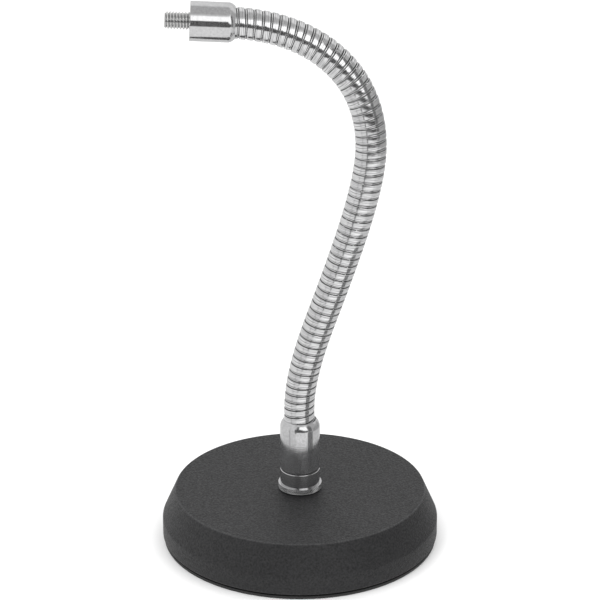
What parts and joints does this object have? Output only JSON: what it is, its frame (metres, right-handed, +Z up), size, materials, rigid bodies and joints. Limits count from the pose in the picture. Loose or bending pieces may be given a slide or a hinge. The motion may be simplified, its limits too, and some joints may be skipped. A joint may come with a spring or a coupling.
{
  "type": "desktop microphone stand",
  "caption": "Desktop microphone stand: heavy round base, chromed gooseneck that bends and swings, locking collar, and a threaded stud at the head for a microphone clip.",
  "frame": {"origin": "middle of the base's underside, on the table", "axes": "+Z up; the neck leans towards +X and curls over so that the head and its stud point towards -X; -Y is the front"},
  "size_m": [0.15, 0.15, 0.3049],
  "materials": {
    "powder_coat": "fine crinkle powder coat over cast iron",
    "foot_rubber": "matt black rubber",
    "chrome": "bright chrome plate",
    "neck_inner": "bright drawn spring wire",
    "stud_steel": "turned steel, plated",
    "zinc_hardware": "bright zinc plate"
  },
  "bodies": {
    "base": {"base_casting": "powder_coat", "foot_ring": "foot_rubber", "base_stud": "zinc_hardware", "stud_washer": "zinc_hardware", "stud_lock_washer": "zinc_hardware", "stud_nut": "zinc_hardware"},
    "collar": {"lock_collar": "chrome"},
    "neck_foot": {"lower_ferrule": "chrome", "outer_wire_01": "chrome", "inner_wire_01": "neck_inner"},
    "neck_link_02": {"outer_wire_02": "chrome", "inner_wire_02": "neck_inner"},
    "neck_link_03": {"outer_wire_03": "chrome", "inner_wire_03": "neck_inner"},
    "neck_link_04": {"outer_wire_04": "chrome", "inner_wire_04": "neck_inner"},
    "neck_link_05": {"outer_wire_05": "chrome", "inner_wire_05": "neck_inner"},
    "neck_link_06": {"outer_wire_06": "chrome", "inner_wire_06": "neck_inner"},
    "neck_link_07": {"outer_wire_07": "chrome", "inner_wire_07": "neck_inner"},
    "neck_link_08": {"outer_wire_08": "chrome", "inner_wire_08": "neck_inner"},
    "neck_link_09": {"outer_wire_09": "chrome", "inner_wire_09": "neck_inner"},
    "neck_link_10": {"outer_wire_10": "chrome", "inner_wire_10": "neck_inner"},
    "neck_link_11": {"outer_wire_11": "chrome", "inner_wire_11": "neck_inner"},
    "neck_link_12": {"outer_wire_12": "chrome", "inner_wire_12": "neck_inner"},
    "neck_link_13": {"outer_wire_13": "chrome", "inner_wire_13": "neck_inner"},
    "neck_link_14": {"outer_wire_14": "chrome", "inner_wire_14": "neck_inner"},
    "neck_link_15": {"outer_wire_15": "chrome", "inner_wire_15": "neck_inner"},
    "neck_link_16": {"outer_wire_16": "chrome", "inner_wire_16": "neck_inner"},
    "neck_link_17": {"outer_wire_17": "chrome", "inner_wire_17": "neck_inner"},
    "neck_link_18": {"outer_wire_18": "chrome", "inner_wire_18": "neck_inner"},
    "neck_link_19": {"outer_wire_19": "chrome", "inner_wire_19": "neck_inner"},
    "neck_link_20": {"outer_wire_20": "chrome", "inner_wire_20": "neck_inner"},
    "neck_link_21": {"outer_wire_21": "chrome", "inner_wire_21": "neck_inner"},
    "head": {"outer_wire_22": "chrome", "inner_wire_22": "neck_inner", "upper_ferrule": "chrome", "mic_stud": "stud_steel"}
  },
  "joints": [
    {"name": "collar_turn", "type": "hinge", "parent": "base", "child": "collar", "pos_m": [0, 0, 0.035], "axis": [0, 0, 1], "range_deg": [0, 180]},
    {"name": "neck_spin", "type": "hinge", "parent": "base", "child": "neck_foot", "pos_m": [0, 0, 0.0414], "axis": [0, 0, 1], "range_deg": [-180, 180]},
    {"name": "neck_lower_bend", "type": "hinge", "parent": "neck_foot", "child": "neck_link_02", "pos_m": [-0.00036, -0.00006, 0.07777], "axis": [-0.0004, -0.9999, -0.0118], "range_deg": [-6, 6]},
    {"name": "neck_lower_bend_02", "type": "hinge", "parent": "neck_link_02", "child": "neck_link_03", "pos_m": [0.00077, -0.0003, 0.09049], "axis": [-0.0039, -0.9996, -0.0276], "range_deg": [-6, 6]},
    {"name": "neck_lower_sway", "type": "hinge", "parent": "neck_link_03", "child": "neck_link_04", "pos_m": [0.00324, -0.00077, 0.10302], "axis": [0.9743, 0, -0.2253], "range_deg": [-8, 8]},
    {"name": "neck_lower_bend_04", "type": "hinge", "parent": "neck_link_04", "child": "neck_link_05", "pos_m": [0.00652, -0.00146, 0.11535], "axis": [-0.0167, -0.9982, -0.0579], "range_deg": [-6, 6]},
    {"name": "neck_lower_bend_05", "type": "hinge", "parent": "neck_link_05", "child": "neck_link_06", "pos_m": [0.01031, -0.00231, 0.12752], "axis": [-0.0208, -0.9977, -0.0645], "range_deg": [-6, 6]},
    {"name": "neck_lower_sway_06", "type": "hinge", "parent": "neck_link_06", "child": "neck_link_07", "pos_m": [0.01436, -0.0032, 0.13961], "axis": [0.9486, 0, -0.3163], "range_deg": [-8, 8]},
    {"name": "neck_lower_bend_07", "type": "hinge", "parent": "neck_link_07", "child": "neck_link_08", "pos_m": [0.01838, -0.00397, 0.15172], "axis": [-0.016, -0.9987, -0.0487], "range_deg": [-6, 6]},
    {"name": "neck_lower_bend_08", "type": "hinge", "parent": "neck_link_08", "child": "neck_link_09", "pos_m": [0.02232, -0.00451, 0.16386], "axis": [-0.0093, -0.9995, -0.0291], "range_deg": [-6, 6]},
    {"name": "neck_lower_sway_09", "type": "hinge", "parent": "neck_link_09", "child": "neck_link_10", "pos_m": [0.02616, -0.00475, 0.17605], "axis": [0.9564, 0, -0.292], "range_deg": [-8, 8]},
    {"name": "neck_upper_bend", "type": "hinge", "parent": "neck_link_10", "child": "neck_link_11", "pos_m": [0.02978, -0.00468, 0.18831], "axis": [0.0042, -0.9999, 0.0153], "range_deg": [-12, 2.6]},
    {"name": "neck_upper_bend_11", "type": "hinge", "parent": "neck_link_11", "child": "neck_link_12", "pos_m": [0.03299, -0.00434, 0.20067], "axis": [0.0078, -0.9994, 0.0335], "range_deg": [-12, 2.6]},
    {"name": "neck_upper_sway", "type": "hinge", "parent": "neck_link_12", "child": "neck_link_13", "pos_m": [0.03555, -0.0038, 0.21318], "axis": [0.9884, 0, -0.152], "range_deg": [-8, 8]},
    {"name": "neck_upper_bend_13", "type": "hinge", "parent": "neck_link_13", "child": "neck_link_14", "pos_m": [0.03686, -0.00307, 0.22586], "axis": [0.0015, -0.9979, 0.065], "range_deg": [-12, 2.6]},
    {"name": "neck_upper_bend_14", "type": "hinge", "parent": "neck_link_14", "child": "neck_link_15", "pos_m": [0.03614, -0.00215, 0.23857], "axis": [-0.0117, -0.997, 0.077], "range_deg": [-12, 2.6]},
    {"name": "neck_upper_sway_15", "type": "hinge", "parent": "neck_link_15", "child": "neck_link_16", "pos_m": [0.03304, -0.00109, 0.2509], "axis": [0.9383, 0, 0.3458], "range_deg": [-8, 8]},
    {"name": "neck_upper_bend_16", "type": "hinge", "parent": "neck_link_16", "child": "neck_link_17", "pos_m": [0.0274, 0.00005, 0.26228], "axis": [-0.048, -0.9961, 0.0742], "range_deg": [-12, 2.6]},
    {"name": "neck_upper_bend_17", "type": "hinge", "parent": "neck_link_17", "child": "neck_link_18", "pos_m": [0.01933, 0.00115, 0.27209], "axis": [-0.0575, -0.9967, 0.0566], "range_deg": [-12, 2.6]},
    {"name": "neck_upper_sway_18", "type": "hinge", "parent": "neck_link_18", "child": "neck_link_19", "pos_m": [0.00939, 0.00209, 0.28003], "axis": [0.5478, 0, 0.8366], "range_deg": [-8, 8]},
    {"name": "neck_upper_bend_19", "type": "hinge", "parent": "neck_link_19", "child": "neck_link_20", "pos_m": [-0.00188, 0.00274, 0.28599], "axis": [-0.0335, -0.9993, 0.0143], "range_deg": [-12, 2.6]},
    {"name": "neck_upper_bend_20", "type": "hinge", "parent": "neck_link_20", "child": "neck_link_21", "pos_m": [-0.01399, 0.00302, 0.29004], "axis": [-0.0081, -1, 0.0021], "range_deg": [-12, 2.6]},
    {"name": "neck_upper_bend_21", "type": "hinge", "parent": "neck_link_21", "child": "head", "pos_m": [-0.02653, 0.00295, 0.29245], "axis": [0.0162, -0.9999, -0.0023], "range_deg": [-12, 2.6]}
  ],
  "couplings": [
    {"joint": "neck_lower_bend_02", "follows": "neck_lower_bend", "ratio": 1},
    {"joint": "neck_lower_bend_04", "follows": "neck_lower_bend", "ratio": 1},
    {"joint": "neck_lower_bend_05", "follows": "neck_lower_bend", "ratio": 1},
    {"joint": "neck_lower_sway_06", "follows": "neck_lower_sway", "ratio": 1},
    {"joint": "neck_lower_bend_07", "follows": "neck_lower_bend", "ratio": 1},
    {"joint": "neck_lower_bend_08", "follows": "neck_lower_bend", "ratio": 1},
    {"joint": "neck_lower_sway_09", "follows": "neck_lower_sway", "ratio": 1},
    {"joint": "neck_upper_bend_11", "follows": "neck_upper_bend", "ratio": 1},
    {"joint": "neck_upper_bend_13", "follows": "neck_upper_bend", "ratio": 1},
    {"joint": "neck_upper_bend_14", "follows": "neck_upper_bend", "ratio": 1},
    {"joint": "neck_upper_sway_15", "follows": "neck_upper_sway", "ratio": 1},
    {"joint": "neck_upper_bend_16", "follows": "neck_upper_bend", "ratio": 1},
    {"joint": "neck_upper_bend_17", "follows": "neck_upper_bend", "ratio": 1},
    {"joint": "neck_upper_sway_18", "follows": "neck_upper_sway", "ratio": 1},
    {"joint": "neck_upper_bend_19", "follows": "neck_upper_bend", "ratio": 1},
    {"joint": "neck_upper_bend_20", "follows": "neck_upper_bend", "ratio": 1},
    {"joint": "neck_upper_bend_21", "follows": "neck_upper_bend", "ratio": 1}
  ]
}
